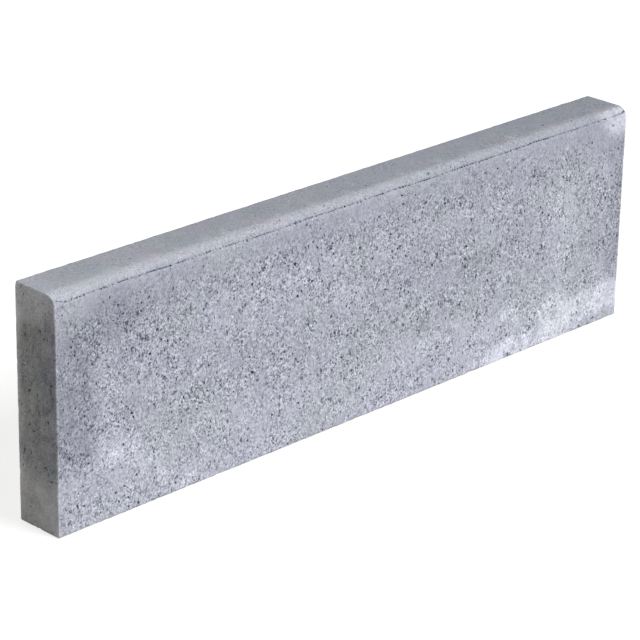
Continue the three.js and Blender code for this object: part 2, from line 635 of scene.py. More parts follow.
def chance_on_end(across, up):
    """How likely a pit is here. None are made near the round of the nose."""
    over_nose = up > HEIGHT - NOSE_RADIUS and across < NOSE_RADIUS - THICKNESS / 2
    return 0 if over_nose else clustered(across, up, 25 * MM)


print("blowholes in each end:", len(BLOWHOLES))
print("points round an end:", len(around_end(0)))

# %% [markdown]
# ## Triangulate an end
#
# The other pits are scattered by chance, as on the skin, and keep clear of the blowholes. Just
# inside the edge go two rows of points that will let the arris wear away softly. Points alone could
# be joined up face by face, but the same triangulation as for the skin keeps every pit whole. Along
# the straight edges rounding errors can add triangles with no width at all, so those are left out.

# %% Triangulate an end
THINNEST = 1e-10


def make_end():
    """Flat places, depths, darkness and triangles of one end face."""
    pits = scatter(
        END_TRIES,
        (-THICKNESS / 2 + ARRIS_MARGIN, ARRIS_MARGIN),
        (THICKNESS / 2 - ARRIS_MARGIN, HEIGHT - ARRIS_MARGIN),
        chance_on_end,
    )
    pits = [
        pit for pit in pits
        if all(math.hypot(pit[0] - y, pit[1] - z) > CLEAR_OF_BLOWHOLE for y, z in BLOWHOLES)
    ]
    blowholes = [(y, z, random.uniform(2.2, 3.4) * MM) for y, z in BLOWHOLES]
    end = Sheet()
    for pit in pits:
        end.add_pit(shape_pit(*pit, DRAGGED))
    for pit in blowholes:
        end.add_pit(shape_pit(*pit, BLOWN))
    end.add(around_end(0), closed=True)
    for inset in (1.5 * MM, 4 * MM):
        end.add(around_end(inset))
    half = THICKNESS / 2 - 8 * MM
    inner = loose_grid((-half, 8 * MM), (half, HEIGHT - 18 * MM), 5 * MM, jitter=1.4)
    end.add(clear_of_pits(inner, pits + blowholes))
    flat, depth, dark, faces = end.triangulate()
    a, b, c = (flat[faces[:, corner]] for corner in range(3))
    area = np.abs(np.cross(b - a, c - a)) / 2
    return flat, depth, dark, faces[area > THINNEST]


ends = {side: make_end() for side in (-1, 1)}
print("triangles in each end:", {side: len(faces) for side, (_, _, _, faces) in ends.items()})

# %% [markdown]
# ## Lay out the parts
#
# The skin and the two ends are placed on the block, and each also keeps its place on a flat carton.
# That carton is the UV map. Blender could unwrap the block by itself, but the carton is already
# there, stretches nothing and fills most of a square 1.012 m across. The ends lie side by side
# above the skin. The left end's triangles are turned over, so that they face outwards too.

# %% Lay out the skin and the ends
CARTON = 1.012
CARTON_GAP = 4 * MM
ENDS_ON_CARTON = {-1: 0.06, 1: 0.46}
ABOVE_SKIN = GIRTH + 3 * CARTON_GAP + THICKNESS / 2

skin_points, skin_outward = on_block(*skin_flat.T)
parts = [{
    "points": skin_points, "outward": skin_outward, "depth": skin_depth, "dark": skin_dark,
    "faces": skin_faces, "carton": skin_flat + (REACH + CARTON_GAP, CARTON_GAP),
}]
for side, (flat, depth, dark, faces) in ends.items():
    parts.append({
        "points": np.column_stack([np.full(len(flat), side * LENGTH / 2), flat]),
        "outward": np.tile((side, 0.0, 0.0), (len(flat), 1)),
        "depth": depth,
        "dark": dark,
        "faces": faces if side > 0 else faces[:, ::-1],
        "carton": flat[:, ::-1] + (ENDS_ON_CARTON[side], ABOVE_SKIN),
    })
print("points in the parts:", [len(part["points"]) for part in parts])

# %% [markdown]
# ## Sew the block together
#
# The three parts become one mesh. Where they share places the points are merged, so the block is
# closed: every edge joins exactly two triangles. Each point carries its outward direction and its
# depth through the sewing, because the relief will need them, and its darkness, which stays.

# %% Sew the mesh
SEWN_WITHIN = 2e-6


def keep(name, values):
    """Keep one number for each point of the mesh."""
    mesh.attributes.new(name, "FLOAT", "POINT").data.foreach_set("value", values)


def joined(name):
    """What the parts have under a name, end to end."""
    return np.concatenate([part[name] for part in parts])


offsets = np.cumsum([0] + [len(part["points"]) for part in parts])
faces = np.concatenate([part["faces"] + offset for part, offset in zip(parts, offsets)])
mesh = bpy.data.meshes.new("kerb")
mesh.from_pydata(joined("points"), [], faces)
unwrapped = mesh.uv_layers.new(name="OFBake")
unwrapped.data.foreach_set("uv", (joined("carton") / CARTON)[faces.ravel()].ravel())
directions = mesh.attributes.new("outward", "FLOAT_VECTOR", "POINT")
directions.data.foreach_set("vector", joined("outward").ravel())
keep("depth", joined("depth"))
keep("pit", joined("dark"))

sewing = bmesh.new()
sewing.from_mesh(mesh)
bmesh.ops.remove_doubles(sewing, verts=sewing.verts, dist=SEWN_WITHIN)
open_edges = sum(1 for edge in sewing.edges if len(edge.link_faces) != 2)
print("edges that don't join two triangles:", open_edges)
print(f"volume {sewing.calc_volume(signed=True) * 1000:.2f} litres")
sewing.to_mesh(mesh)
sewing.free()

# %% [markdown]
# ## How near an arris is
#
# An arris is the edge where two faces meet. Even on a new kerb it isn't clean: the mould drags a
# little off it, and handling takes small bites. To know how near each point is to an arris we lay
# guide points along all of them and look up the nearest one.

# %% Measure the distance to the nearest arris
points = np.empty((len(mesh.vertices), 3))
outward = np.empty_like(points)
pit_depth = np.empty(len(points))
mesh.vertices.foreach_get("co", points.ravel())
mesh.attributes["outward"].data.foreach_get("vector", outward.ravel())
mesh.attributes["depth"].data.foreach_get("value", pit_depth)
for name in ("outward", "depth"):
    mesh.attributes.remove(mesh.attributes[name])

GUIDE_STEP = 0.8 * MM
guide_along = spaced(-FLAT_HALF, FLAT_HALF, GUIDE_STEP)
guide_around = spaced(0, GIRTH, GUIDE_STEP)
guides = [
    *(on_block(guide_along, np.full_like(guide_along, arris_middle(name)))[0] for name in SMALL_ARRISES),
    *(on_block(*cross_row(side * END_ARRIS, guide_around).T)[0] for side in (-1, 1)),
]
from_arris = distance_to(np.concatenate(guides), points)
print(f"deepest pit {pit_depth.max() / MM:.1f} mm")
print("points within 2 mm of an arris:", int((from_arris < 2 * MM).sum()))

# %% [markdown]
# ## Wear the arrises
#
# Now the smooth block gets its relief, first as one number for each point: how far it sinks along
# its outward direction. Pits already have theirs. The arrises lose a few tenths of a millimetre. A
# bevel would take that off evenly, so noise makes it more in some places than in others, and it is
# a little less towards the ends.

# %% Wear the arrises
def field(places, size, shift=0.0):
    """Smooth noise from about -1 to 1 at each place, with bumps of about that size."""
    return np.array([noise.noise(Vector(place) / size + Vector((shift, 0, 0))) for place in places])


def rise(value, low, high):
    """0 below low, 1 above high and a smooth rise between."""
    t = np.clip((value - low) / (high - low), 0, 1)
    return t * t * (3 - 2 * t)


def fade(value, low, high):
    """1 below low, 0 above high and a smooth fall between."""
    return 1 - rise(value, low, high)


NEAR_END = (LENGTH / 2 - 12 * MM, LENGTH / 2 - 5 * MM)
wear = fade(from_arris, 1.2 * MM, 2.6 * MM)
worn = np.flatnonzero(wear > 0)
sink = pit_depth.copy()
ragged = 0.5 + field(points[worn], 14 * MM) + 0.7 * field(points[worn], 5 * MM)
at_end = rise(np.abs(points[worn, 0]), *NEAR_END)
sink[worn] += wear[worn] * (0.1 + 0.35 * (1 - 0.6 * at_end) * np.clip(ragged, 0, 1.6)) * MM
wear[worn] *= np.clip(0.35 + ragged, 0, 1.2)
print("worn points:", len(worn))

# %% [markdown]
# ## Cut the joint line
#
# The joint line is a fine groove that comes and goes, and opens up where it runs out over the right
# end. A bar cut through the block would leave it as even as a sawn one, but sinking the points of
# its rows lets it wander. Just below it a thin burr of paste was pressed out between the head and
# the mould, and stands a few tenths of a millimetre proud where it hasn't broken off.

# %% Cut the joint line
JOINT_DEPTH = 1.2 * MM
BURR = 0.5 * MM
joint_points, _ = on_block(*joint_rows[0].T)


def joint_height():
    """How high the joint line is, above or below each point."""
    return np.interp(points[:, 0], joint_points[:, 0], joint_points[:, 2])


near_top = np.flatnonzero((points[:, 2] > HEIGHT - 25 * MM) & (points[:, 1] < 0))
from_joint = np.full(len(points), 1.0)
from_joint[near_top] = distance_to(joint_points, points[near_top])
in_joint = np.flatnonzero(from_joint < 2.2 * MM)
in_groove = points[in_joint]
comes_and_goes = 0.60 + 0.6 * field(in_groove, 16 * MM) + 0.6 * field(in_groove, 5 * MM)
at_right = rise(in_groove[:, 0], *NEAR_END)
how_open = np.maximum(0.90 * rise(comes_and_goes, 0, 1.0), at_right)
wider = 1 + 0.8 * at_right
# The groove's depth also darkens its colour in the shader: dust, and painted shade that grows where it
# opens at the right end.
groove = np.zeros(len(points))
groove[in_joint] = how_open * wider * np.clip(1 - from_joint[in_joint] / (JOINT_HALF * wider), 0, 1)
sink += JOINT_DEPTH * groove

joint_here = joint_height()
below_joint = np.flatnonzero((from_joint < 2.4 * MM) & (points[:, 2] < joint_here))
fin = np.clip(1 - np.abs(from_joint[below_joint] / MM - 0.8) / 1.2, 0, 1)
fin *= rise(0.6 + 0.8 * field(points[below_joint], 9 * MM, 5.0), 0, 1)
sink[below_joint] -= BURR * fin
wear[below_joint] += 0.6 * fin
print("points in the groove:", int((groove > 0).sum()), "and in the burr:", int((fin > 0).sum()))

# %% [markdown]
# ## Press the relief in and cut the chips
#
# The points now sink along their outward directions. The burr can't stand out further than the
# front face, since the mould wall was there. Chips are cut last, each with a slightly dished plane
# set across its arris: whatever stands outside the plane is brought back to it.

# %% Press the relief
points -= outward * sink[:, None]
points[:, 1] = np.maximum(points[:, 1], -THICKNESS / 2)
chipped = np.zeros(len(points))


def cut_chip(along, around, reach_along, reach_around, depth):
    """Bring the points of one chip back to a dished plane."""
    middle, out = on_block(np.array([along]), np.array([around]))
    heading = np.interp(around, starts, headings)
    on_end = abs(along) > FLAT_HALF
    edge = np.array([0, np.cos(heading), np.sin(heading)]) if on_end else np.array([1.0, 0, 0])
    reach = max(reach_along, reach_around)
    from_middle = points - middle
    run = from_middle @ edge
    near = np.flatnonzero((np.abs(run) < reach) & (np.linalg.norm(from_middle, axis=1) < 1.5 * reach))
    height = from_middle[near] @ out[0]
    rough = 1 + 0.5 * field(points[near], 3.5 * MM)
    limit = -depth * (1 - (run[near] / reach) ** 2) * rough
    cut = height > limit
    points[near[cut]] += (limit - height)[cut, None] * out[0]
    chipped[near[cut]] = 1


for chip in chips:
    cut_chip(*chip)
mesh.vertices.foreach_set("co", points.ravel())
print("points in chips:", int(chipped.sum()))

# %% [markdown]
# ## Tools for painting
#
# The colour of concrete drifts from place to place: paler where the mix was wet at the bottom of
# the mould, darker where the mould wall was oily, with soft smudges here and there. Noise in the
# shader could do the drifting, but not put a smudge in its place. So the soft differences are
# worked out for each point and kept as a value called tone, where 0.1 means ten percent lighter.
#
# Two shapes do nearly all of it. A band fades in and out again along one direction. A soft oval
# can lie at any slant, and a smudge is one of those on the front.

# %% Bands and ovals
front = outward[:, 1] < -0.3
from_left = points[:, 0] + LENGTH / 2
up = points[:, 2]


def band(value, low, high, fall_low, fall_high):
    """1 from high to fall_low, with a smooth rise before it and a smooth fall after it."""
    return rise(value, low, high) * fade(value, fall_low, fall_high)


def soft_oval(across, over, long, short, lean):
    """1 in the middle of a leaning oval, falling softly to 0 at its edge."""
    cos, sin = math.cos(math.radians(lean)), math.sin(math.radians(lean))
    away = np.hypot((across * cos + over * sin) / long, (over * cos - across * sin) / short)
    return fade(away, 0.1, 1)


def smudge(left, height, long, short, lean, change):
    """A soft oval on the front, its middle measured from the left end and the bed."""
    return change * soft_oval(from_left - left, up - height, long, short, lean) * front


print("points on the front:", int(front.sum()))

# %% [markdown]
# ## Paint the front
#
# The front is palest near the bed and darkest in the dense band below the nose. Its two ends are
# darker half-way up, where the mould's corners were oiled. Just above the joint line the nose gets
# painted shade from the groove's upper edge, more to the left, and right under the line runs a
# painted highlight along its lower lip. Each smudge is a row of six numbers: where it is, how long
# and short it is, how it leans, and how much it changes the tone.

# %% Paint the front
SMUDGES = [
    (0.082, 0.25, 0.092, 0.055, 0, -0.21), (0.13, 0.235, 0.11, 0.06, 0, -0.06),
    (0.115, 0.198, 0.035, 0.025, 0, -0.10), (0.09, 0.082, 0.06, 0.04, 0, 0.22),
    (0.14, 0.05, 0.08, 0.02, -40, 0.14), (0.20, 0.018, 0.05, 0.025, 0, 0.10),
    (0.28, 0.21, 0.10, 0.05, 0, 0.06), (0.33, 0.062, 0.08, 0.02, 10, 0.09),
    (0.462, 0.168, 0.05, 0.025, -50, 0.14), (0.605, 0.10, 0.025, 0.022, 0, -0.30),
    (0.70, 0.15, 0.045, 0.03, 0, -0.15), (0.56, 0.165, 0.04, 0.04, 0, -0.07),
    (0.88, 0.17, 0.05, 0.12, 0, 0.17), (0.60, 0.065, 0.16, 0.035, 3, 0.12),
    (0.76, 0.065, 0.06, 0.03, 0, 0.07), (0.04, 0.28, 0.07, 0.02, 0, 0.10),
    (0.79, 0.20, 0.06, 0.05, 0, -0.04), (0.26, 0.078, 0.065, 0.05, 0, 0.11),
    (0.73, 0.036, 0.11, 0.03, 0, 0.08), (0.88, 0.088, 0.04, 0.025, 0, 0.08),
    (0.18, 0.256, 0.05, 0.02, 0, -0.06),
]
left_edge = fade(from_left, 0.045, 0.07)
right_edge = rise(from_left, 0.96, 0.985)
shaded_above_joint = np.clip(1 - from_joint / (2.6 * MM), 0, 1) * (up > joint_here)
lit_under_joint = fade(from_joint, 2 * MM, 7 * MM) * (up < joint_here) * front

tone = 0.05 * np.array([noise.fractal(Vector(point) / (90 * MM), 1.0, 2.0, 3) for point in points])
# Painted shade just above the joint line, and a painted highlight along the lip under it.
tone -= shaded_above_joint * (0.10 + 0.10 * fade(from_left, 0.15, 0.45))
tone += 0.11 * lit_under_joint * rise(from_left, 0.16, 0.32)
tone += 0.09 * fade(up, 0.05, 0.11) * front
tone -= 0.085 * rise(up, 0.225, 0.25) * front
tone -= 0.28 * left_edge * band(up, 0.065, 0.09, 0.225, 0.262) * front
tone -= 0.20 * right_edge * band(up, 0.045, 0.08, 0.25, 0.27) * front
tone += sum(smudge(*numbers) for numbers in SMUDGES)
print(f"tone of the front from {tone[front].min():.2f} to {tone[front].max():.2f}")

# %% [markdown]
# ## Paint the back, and the bloom
#
# Bloom is the thin white veil that lime leaves where water has dried out of young concrete. On the
# front it lies in a few patches, most of them low on the right, and on the back it rises unevenly
# from the bed. It is kept apart from the tone, because the shader breaks its edge up. The back's
# own tone only drifts in two sizes, for nobody sees that face once the kerb is laid.

# %% Paint the back and the bloom
BLOOMS = [
    (0.76, 0.005, 0.09, 0.033, 3, 1.5), (0.862, 0.03, 0.045, 0.075, 0, 1.7),
    (0.955, 0.035, 0.10, 0.034, 4, 2.0), (1.0, 0.29, 0.09, 0.04, 0, 1.3),
    (0.84, 0.008, 0.13, 0.03, 0, 1.0), (0.77, 0.065, 0.05, 0.03, 0, 0.5),
    (0.09, 0.085, 0.05, 0.035, 0, 0.5), (0.19, 0.015, 0.05, 0.02, 0, 0.5),
]
on_back = outward[:, 1] > 0.3
tone += on_back * (0.22 * field(points, 120 * MM, 7.0) + 0.10 * field(points, 45 * MM, 11.0))
tone += on_back * (0.10 * fade(up, 0.03, 0.12) - 0.08 * rise(up, 0.235, 0.275))

bloom = sum(smudge(*numbers) for numbers in BLOOMS)
bloom += on_back * 1.2 * rise(field(points, 85 * MM, 13.0), 0.0, 0.7) * fade(up, 0.02, 0.11)
bloom = np.clip(bloom, 0, 1)
print(f"share of the points with bloom: {(bloom > 0).mean():.2f}")

# %% [markdown]
# ## Paint the top
#
# The nose is painted paler than the flat of the top: partly paler pressed paste, partly a painted
# highlight that widens the band of light the round catches. The paler strip ends along a soft, wavy
# line a little behind the round. The back edge of the top is darker, and the whole top darkens
# slowly towards the right.

# %% Paint the top
back_from_front = points[:, 1] + THICKNESS / 2
on_top = (outward[:, 2] > 0.1) & (up > HEIGHT - 2 * NOSE_RADIUS)
edge_of_nose = (17.5 - 2.5 * rise(from_left, 0.1, 0.5) + 3 * field(points, 25 * MM)) * MM
past_nose = back_from_front - edge_of_nose

# The nose band: partly paler paste, partly a painted highlight; the flat behind it is darker.
tone -= 0.18 * on_top * rise(past_nose, -5 * MM, 4 * MM)
tone += 0.16 * on_top * rise(back_from_front, 1 * MM, 6 * MM) * fade(past_nose, -4 * MM, 4 * MM)
tone -= 0.12 * on_top * rise(back_from_front, THICKNESS - 5 * MM, THICKNESS - 1.5 * MM)
tone += on_top * (0.08 * fade(from_left, 0.01, 0.05) - 0.22 * (from_left - 0.40))
print(f"tone of the top from {tone[on_top].min():.2f} to {tone[on_top].max():.2f}")

# %% [markdown]
# ## Paint the ends
#
# An end was cast against a steel plate, which leaves it smooth but cloudy. It is pale at the bed
# and at the top, and darker between, up to a slanting edge. Right along the bed a thin dark line is
# painted shadow, where the end meets the floor. A strip along its back arris is lighter, and there
# are upright streaks and small clouds all over. The left end also has a few dark smears, where the
# plate stuck. Its worn rim also catches the light, and that light line is a painted highlight,
# marked on its own.

# %% Paint the ends
END_SMEARS = [
    (-0.021, 0.194, 0.019, 0.0085, 35, -0.30), (-0.018, 0.155, 0.020, 0.007, -20, -0.24),
    (-0.015, 0.121, 0.022, 0.0075, -15, -0.28), (-0.026, 0.083, 0.012, 0.007, -30, -0.30),
    (0.008, 0.108, 0.012, 0.0075, 50, -0.14), (0.018, 0.236, 0.012, 0.009, 0, -0.14),
    (0.006, 0.072, 0.014, 0.009, 0, -0.10), (-0.020, 0.253, 0.020, 0.009, 20, 0.08),
]
over = points[:, 1]
on_ends = np.abs(outward[:, 0]) > 0.7
on_left_end = outward[:, 0] < -0.7
streaks = field(points * (1, 5, 1), 40 * MM, 9.0)
slant = up + 0.25 * over + 0.008 * streaks
up_middle = rise(up, 0.05, 0.095) * fade(slant, HEIGHT - 0.052, HEIGHT - 0.030)

tone += on_ends * (0.42 - 0.44 * up_middle + 0.12 * fade(up, 0, 0.03) + 0.09 * rise(up, 0.265, 0.285))
tone += 0.30 * on_ends * rise(over, THICKNESS / 2 - 13 * MM, THICKNESS / 2 - 3 * MM)
tone -= 0.10 * on_ends * up_middle * fade(over, 0.0, 0.02)
tone -= 0.06 * on_ends * fade(over, -0.03, -0.01)
tone += 0.36 * on_ends * rise(over, 0.026, 0.0335) * band(up, 0.10, 0.16, 0.24, 0.27)
tone += on_ends * (0.14 * streaks + 0.19 * field(points, 12 * MM, 4.0))
for across, height, long, short, lean, change in END_SMEARS:
    tone += change * soft_oval(over - across, up - height, long, short, lean) * on_left_end
# Painted shadow: a thin dark line along the bed, where the end meets the floor.
tone -= 0.30 * on_ends * fade(up, 1 * MM, 4 * MM)

# Painted highlight and wear: the worn rim of the left end, lighter where it catches the light.
rim = fade(from_arris, 0.9 * MM, 2.4 * MM) * (from_left < 8 * MM) * (outward[:, 1] < 0.2)
rim *= fade(-outward[:, 0], 0.45, 0.95)
print(f"tone from {tone.min():.2f} to {tone.max():.2f}, points on the rim: {int((rim > 0).sum())}")

# %% [markdown]
# ## Which parts were pressed and which were moulded
#
# The press head leaves a dense, closed surface above the joint line. The mould walls leave an open
# one, more so further down, apart from a few calm places near the ends. The end plates of the mould
# are smoother than the walls. These could be three materials, but then they would meet at hard
# edges. So each point gets a value called open, 0 for pressed and 1 for moulded, and one material
# reads it.

# %% Mark the open parts
CALM_PLACES = [
    (0.0, 0.17, 0.075, 0.16, 0, 0.5), (0.98, 0.27, 0.13, 0.08, 0, 0.6),
    (0.10, 0.27, 0.16, 0.05, 0, 0.4), (0.985, 0.04, 0.06, 0.045, 0, 0.5),
]
line_here = joint_height()
pressed = (outward[:, 2] > 0.1) & ((up > line_here) | (over > 0))
walls = front & ~pressed
end_plate = rise(np.abs(outward[:, 0]), 0.4, 0.9)
calm = np.max([smudge(*numbers) for numbers in CALM_PLACES], axis=0)

openness = np.where(pressed, 0.17 + 0.22 * (past_nose < 0), 1.0)
openness[walls] *= 0.38 + 0.62 * rise(line_here[walls] - up[walls], 0.008, 0.046)
openness *= 1 - calm
openness = openness * (1 - end_plate) + 0.36 * end_plate
print(f"points that were pressed: {int(pressed.sum())}, mean openness {openness.mean():.2f}")

# %% [markdown]
# ## Closed and dragged surfaces
#
# Two more values help the shader. Closed is for the pressed top and the middle of the ends, where
# paste came to the surface and its tint drifts more. Dragged is for the ends and the sides beside
# them, where the surface was smeared as the mould slid off. Then everything is kept on the mesh.

# %% Keep the values on the mesh
SHARP_FROM = 32
beside_left = fade(from_left, 0.03, 0.07) * band(up, 0.05, 0.09, 0.24, 0.28)
beside_right = rise(from_left, 0.94, 0.97) * band(up, 0.06, 0.10, 0.24, 0.27)
smeared = np.maximum(end_plate, front * np.maximum(0.8 * beside_left, 0.5 * beside_right))
paste = 1.7 * end_plate * rise(over, -0.024, -0.002) * (1 - 0.9 * rise(up, 0.25, 0.275))
closed = np.maximum(pressed, paste)

for name, value in {
    "tone": tone, "open": openness, "wear": wear, "joint": groove, "chip": chipped,
    "bloom": bloom, "dragged": smeared, "closed": closed, "rim": rim,
}.items():
    keep(name, value)
mesh.update()
mesh.shade_smooth()
mesh.set_sharp_from_angle(angle=math.radians(SHARP_FROM))

kerb = add_object("kerb", mesh)
print("kerb:", len(mesh.vertices), "points,", len(mesh.polygons), "triangles")

# %% [markdown]
# ## A few helpers for shader nodes
#
# A material is a chain of nodes. Written out by hand each node takes four or five lines, so some
# helpers keep the recipe readable. The main one adds a node and fills its inputs, each from a plain
# value or from another node's output. The others are for arithmetic and for a smooth step.

# %% Node helpers
def empty_tree(owner):
    """The node tree of a material or a world, with nothing in it yet."""
    owner.use_nodes = True
    owner.node_tree.nodes.clear()
    return owner.node_tree


def put(kind, inputs=None, **settings):
    """Add a node. Inputs are given by name, as values or as outputs to link from."""
    made = tree.nodes.new("ShaderNode" + kind)
    for name, value in settings.items():
        setattr(made, name, value)
    for name, value in (inputs or {}).items():
        if isinstance(value, bpy.types.NodeSocket):
            tree.links.new(value, made.inputs[name])
        else:
            made.inputs[name].default_value = value
    return made


def calc(operation, first, second=0.0):
    """The output of one step of arithmetic."""
    return put("Math", {0: first, 1: second}, operation=operation).outputs[0]


def total(*terms):
    """The sum of several values."""
    result = terms[0]
    for term in terms[1:]:
        result = calc("ADD", result, term)
    return result


def scaled(value, *factors):
    """A value times each of the factors."""
    for factor in factors:
        value = calc("MULTIPLY", value, factor)
    return value


def ramp(value, low, high, out_low=0.0, out_high=1.0):
    """A smooth step from out_low to out_high as the value goes from low to high."""
    made = put("MapRange", {
        "Value": value, "From Min": low, "From Max": high, "To Min": out_low, "To Max": out_high,
    }, interpolation_type="SMOOTHSTEP")
    return made.outputs["Result"]


concrete = bpy.data.materials.new("concrete")
tree = empty_tree(concrete)
print("material:", concrete.name)

# %% [markdown]
# ## The grain of the concrete
#
# Concrete is sand grains and small stones in cement paste. At arm's length you see it as a speckle
# with bumps of one to three millimetres, and as broader blotches. An image of concrete would blur
# close up and repeat, and noise does neither. The mould was pulled off upwards, so on the walls the
# speckle is drawn out along the height. Squeezing the coordinate along Z does that. Each noise is
# brought to a value from about -1 to 1.
#
# Sand, stones and the few light grains make the speckle, and the fines are the paste between them.
# Patches and clouds are broader. Busy says where the speckle is strong and where it rests.

# %% Grain and blotches
place = put("TexCoord").outputs["Object"]
drawn = put("Mapping", {"Vector": place, "Scale": (1, 1, 0.82)}).outputs["Vector"]


def speckle(scale, detail, coordinate, roughness=0.5):
    """Noise with so many bumps in a metre, from about -1 to 1."""
    made = put("TexNoise", {
        "Vector": coordinate, "Scale": scale, "Detail": detail, "Roughness": roughness,
    })
    return total(scaled(made.outputs["Fac"], 3.2), -1.6)


sand = speckle(440, 1, drawn)
stones = speckle(190, 1, drawn)
grains = ramp(speckle(520, 0, drawn), 0.30, 0.95)
fines = speckle(1500, 3, place, 0.6)
patches = speckle(34, 3, place)
clouds = speckle(9, 3, place)
busy = calc("MAXIMUM", total(1.0, scaled(speckle(30, 2, place), 0.8)), 0.25)
print("nodes for the grain:", len(tree.nodes))

# %% [markdown]
# ## Drag marks
#
# Where the mould slid off, the paste was smeared. One noise could stand for all of that, but each
# kind of mark has its own size and direction. Smears are soft and lie everywhere. The others are
# for the dragged parts only: upright streaks, scattered dark marks, and a fine mottle that leans,
# on the ends.

# %% Smears, streaks and mottle
smears = speckle(80, 2, drawn)
drawn_long = put("Mapping", {"Vector": place, "Scale": (1, 1, 0.3)}).outputs["Vector"]
streaky = speckle(95, 2, drawn_long)
marks = ramp(scaled(speckle(90, 2, place), -1.0), 0.55, 1.0)
slanting = put("Mapping", {
    "Vector": place, "Rotation": (math.radians(50), 0, 0), "Scale": (1, 1, 2.2),
}, vector_type="TEXTURE").outputs["Vector"]
mottle = speckle(230, 2, slanting)
print("nodes with the drag marks:", len(tree.nodes))

# %% [markdown]
# ## Pinholes
#
# Between the modelled pits there are many smaller ones, too many to model. A Voronoi texture gives
# every cell a centre, and the distance from it makes a round hole. The random colour of the cell
# decides how wide its hole is, so that most cells have none and a few have a big one. Noise pushes
# the coordinate about first, so that the holes come out uneven. Only the open surface has them, and
# how open it is was kept on the mesh, so one more helper reads such a value.

# %% Pinholes
def stored(name):
    """A value that was kept on the points of the mesh."""
    return put("Attribute", attribute_name=name).outputs["Fac"]


open_here = stored("open")


def pushed_about(coordinate, scale, by):
    """The coordinate, moved about by noise, so that round shapes come out uneven."""
    push = put("TexNoise", {"Vector": coordinate, "Scale": scale, "Detail": 1.0}).outputs["Color"]
    centred = put("VectorMath", {0: push, 1: (0.5, 0.5, 0.5)}, operation="SUBTRACT").outputs[0]
    moved = put("VectorMath", {0: centred, "Scale": by}, operation="SCALE").outputs[0]
    return put("VectorMath", {0: coordinate, 1: moved}, operation="ADD").outputs[0]


def pinholes(scale, share, widest, slope):
    """From 0 to 1: how far inside a pinhole this is. Share is the part of the cells with a hole."""
    cells = put("TexVoronoi", {"Vector": uneven_place, "Scale": scale, "Randomness": 1.0})
    luck = put("SeparateColor", {"Color": cells.outputs["Color"]}).outputs["Red"]
    width = scaled(calc("MAXIMUM", calc("SUBTRACT", luck, 1 - share), 0.0), widest / share)
    inside = calc("SUBTRACT", width, cells.outputs["Distance"])
    return ramp(inside, -0.04, slope)


uneven_place = pushed_about(drawn, 330, 6 * MM)
fine_holes = scaled(pinholes(420, 0.5, 0.58, 0.18), open_here, busy)
wide_holes = scaled(pinholes(170, 0.4, 0.56, 0.34), open_here, busy)
print("nodes with the pinholes:", len(tree.nodes))

# %% [markdown]
# ## How light each spot is
#
# All those layers add up to one number, how much lighter or darker than average this spot is. They
# could each have a colour, but concrete hardly changes its hue, and one number is easier to tune.
# Pits, pinholes and the joint line are darker: dust settles there, and the shade inside them is
# painted in as well, because little light gets in. The worn arrises and the bloom are lighter, and
# so is the rim, partly from wear and partly as a painted highlight. The bloom's edge is broken up by
# the patches and the stones, as a real one is.

# %% Add up the layers
dragged_here = stored("dragged")
end_here = ramp(dragged_here, 0.85, 1.0)
bloom_here = stored("bloom")
broken_bloom = total(bloom_here, scaled(patches, 0.55), scaled(stones, 0.22))
whitened = scaled(ramp(broken_bloom, 0.25, 1.25), calc("MINIMUM", scaled(bloom_here, 3.0), 1.0))
speck_strength = scaled(total(scaled(open_here, 0.8), 0.2), busy)
lighter = total(
    scaled(sand, 0.66, speck_strength),
    scaled(stones, 0.19, speck_strength),
    scaled(fines, 0.15),
    scaled(patches, 0.07),
    scaled(grains, 0.44, speck_strength),
    scaled(smears, total(scaled(open_here, 0.08), scaled(dragged_here, 0.10))),
    scaled(clouds, 0.035),
    scaled(streaky, 0.16, dragged_here),
    scaled(mottle, 0.19, end_here),
    stored("tone"),
    scaled(stored("wear"), 0.20),
    scaled(stored("chip"), 0.04),
    scaled(whitened, 0.60),
    scaled(stored("rim"), ramp(speckle(260, 2, place), -0.3, 0.8, 0.0, 0.42)),
)
# Darker for pits, pinholes and the joint: dust, and painted shade where little light gets in.
darker = total(
    scaled(fine_holes, 0.46),
    scaled(wide_holes, 0.58),
    scaled(marks, 0.28, dragged_here),
    scaled(stored("pit"), total(1.0, scaled(end_here, -0.20))),
    scaled(stored("joint"), 0.9),
)
lightness = calc("MAXIMUM", total(0.97, lighter, scaled(darker, -1.0)), 0.05)
print("nodes with the layers added up:", len(tree.nodes))

# %% [markdown]
# ## Colour
#
# The average colour is a cool, pale grey that drifts between slightly green and slightly violet.
# Closed surfaces drift between two greys of their own, more so on the top than on the ends. The
# lightness then runs from a dark blue-grey, at 0, through the pale grey at 1 and a little beyond.
#
# A colour ramp could hold these greys, but its ends stop at 0 and 1, and the light grains need to
# go beyond. The node that blends two colours can do that. It has sockets for several kinds of value
# under the same names, so its colour sockets are asked for by number.

# %% Mix the colour
MIX_FIRST, MIX_SECOND, MIX_RESULT = 6, 7, 2
PALE_GREENISH = (0.4965, 0.5225, 0.6035, 1)
PALE_VIOLET = (0.5035, 0.5165, 0.6265, 1)
CLOSED_GREENISH = (0.475, 0.520, 0.571, 1)
CLOSED_VIOLET = (0.514, 0.516, 0.578, 1)
DARK = (0.045, 0.056, 0.100, 1)


def blend(factor, first, second, **settings):
    """The first colour where the factor is 0, the second where it is 1."""
    inputs = {"Factor": factor, MIX_FIRST: first, MIX_SECOND: second}
    return put("Mix", inputs, data_type="RGBA", **settings).outputs[MIX_RESULT]


